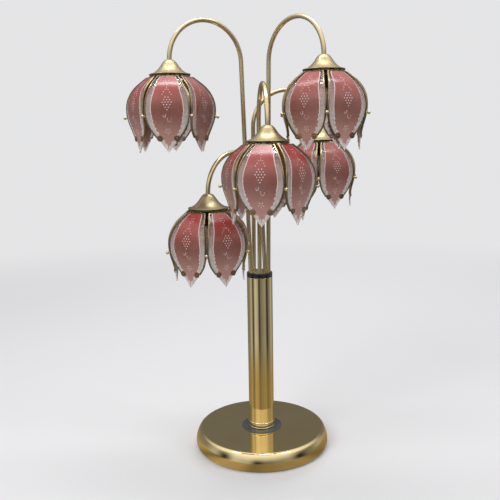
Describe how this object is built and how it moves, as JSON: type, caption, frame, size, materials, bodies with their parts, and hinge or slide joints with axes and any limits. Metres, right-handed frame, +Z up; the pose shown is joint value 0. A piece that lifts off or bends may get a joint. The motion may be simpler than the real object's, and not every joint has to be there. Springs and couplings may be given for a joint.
{
  "type": "tulip shade table lamp",
  "caption": "Table lamp with a round brass base, a tall column and turning cane shaped arms that carry hanging tulip shades of pink glass petals.",
  "frame": {"origin": "middle of the face that the base rests on, on the column's axis", "axes": "+Z up along the column; -Y is the front, the side that the middle arm hangs over; +X is to the right when seen from the front"},
  "size_m": [0.4194, 0.3883, 0.7868],
  "materials": {
    "polished_brass": "mirror polished and lacquered",
    "arm_brass": "satin polished",
    "cap_brass": "brushed and antiqued",
    "edging_brass": "antiqued",
    "bead_brass": "polished",
    "pink_glass": "pink enamel on clear glass with a frosted border",
    "opal_glass": "opal white",
    "black_phenolic": "moulded and glossy",
    "zinc_steel": "zinc plated",
    "weight_iron": "as cast and painted",
    "grey_lacquer": "blue grey lacquer",
    "black_plastic": "fine matt",
    "felt": "pressed felt",
    "lead_insulation": "smooth"
  },
  "bodies": {
    "stand": {"felt_pad": "felt", "base_cover": "zinc_steel", "cover_screws": "zinc_steel", "base_weight": "weight_iron", "touch_module": "black_plastic", "base_shell": "polished_brass", "cord_gland": "black_plastic", "seat_washer": "grey_lacquer", "foot_ring": "polished_brass", "column_tube": "polished_brass", "collar": "black_phenolic", "clamp_plate": "zinc_steel", "stem_nuts": "zinc_steel", "tie_rod": "zinc_steel", "tie_nut": "zinc_steel"},
    "arm_1": {"arm_tube_1": "arm_brass", "arm_lead_1": "lead_insulation", "cap_1": "cap_brass", "petal_hanger_1": "edging_brass", "lampholder_1": "black_phenolic", "bulb_1": "opal_glass", "glass_petals_1": "pink_glass", "petal_frames_1": "edging_brass", "bead_screws_1": "bead_brass"},
    "arm_2": {"arm_tube_2": "arm_brass", "arm_lead_2": "lead_insulation", "cap_2": "cap_brass", "petal_hanger_2": "edging_brass", "lampholder_2": "black_phenolic", "bulb_2": "opal_glass", "glass_petals_2": "pink_glass", "petal_frames_2": "edging_brass", "bead_screws_2": "bead_brass"},
    "arm_3": {"arm_tube_3": "arm_brass", "arm_lead_3": "lead_insulation", "cap_3": "cap_brass", "petal_hanger_3": "edging_brass", "lampholder_3": "black_phenolic", "bulb_3": "opal_glass", "glass_petals_3": "pink_glass", "petal_frames_3": "edging_brass", "bead_screws_3": "bead_brass"},
    "arm_4": {"arm_tube_4": "arm_brass", "arm_lead_4": "lead_insulation", "cap_4": "cap_brass", "petal_hanger_4": "edging_brass", "lampholder_4": "black_phenolic", "bulb_4": "opal_glass", "glass_petals_4": "pink_glass", "petal_frames_4": "edging_brass", "bead_screws_4": "bead_brass"},
    "arm_5": {"arm_tube_5": "arm_brass", "arm_lead_5": "lead_insulation", "cap_5": "cap_brass", "petal_hanger_5": "edging_brass", "lampholder_5": "black_phenolic", "bulb_5": "opal_glass", "glass_petals_5": "pink_glass", "petal_frames_5": "edging_brass", "bead_screws_5": "bead_brass"}
  },
  "joints": [
    {"name": "arm_1_turn", "type": "hinge", "parent": "stand", "child": "arm_1", "pos_m": [-0.01664, -0.00541, 0.3395], "axis": [0, 0, 1], "range_deg": [-80, 3]},
    {"name": "arm_2_turn", "type": "hinge", "parent": "stand", "child": "arm_2", "pos_m": [0.01664, -0.00541, 0.3395], "axis": [0, 0, 1], "range_deg": [-1, 15]},
    {"name": "arm_3_turn", "type": "hinge", "parent": "stand", "child": "arm_3", "pos_m": [0, -0.0175, 0.3395], "axis": [0, 0, 1], "range_deg": [-3, 1]},
    {"name": "arm_4_turn", "type": "hinge", "parent": "stand", "child": "arm_4", "pos_m": [0.01029, 0.01416, 0.3395], "axis": [0, 0, 1], "range_deg": [0, 3]},
    {"name": "arm_5_turn", "type": "hinge", "parent": "stand", "child": "arm_5", "pos_m": [-0.01029, 0.01416, 0.3395], "axis": [0, 0, 1], "range_deg": [-12, 45]}
  ]
}
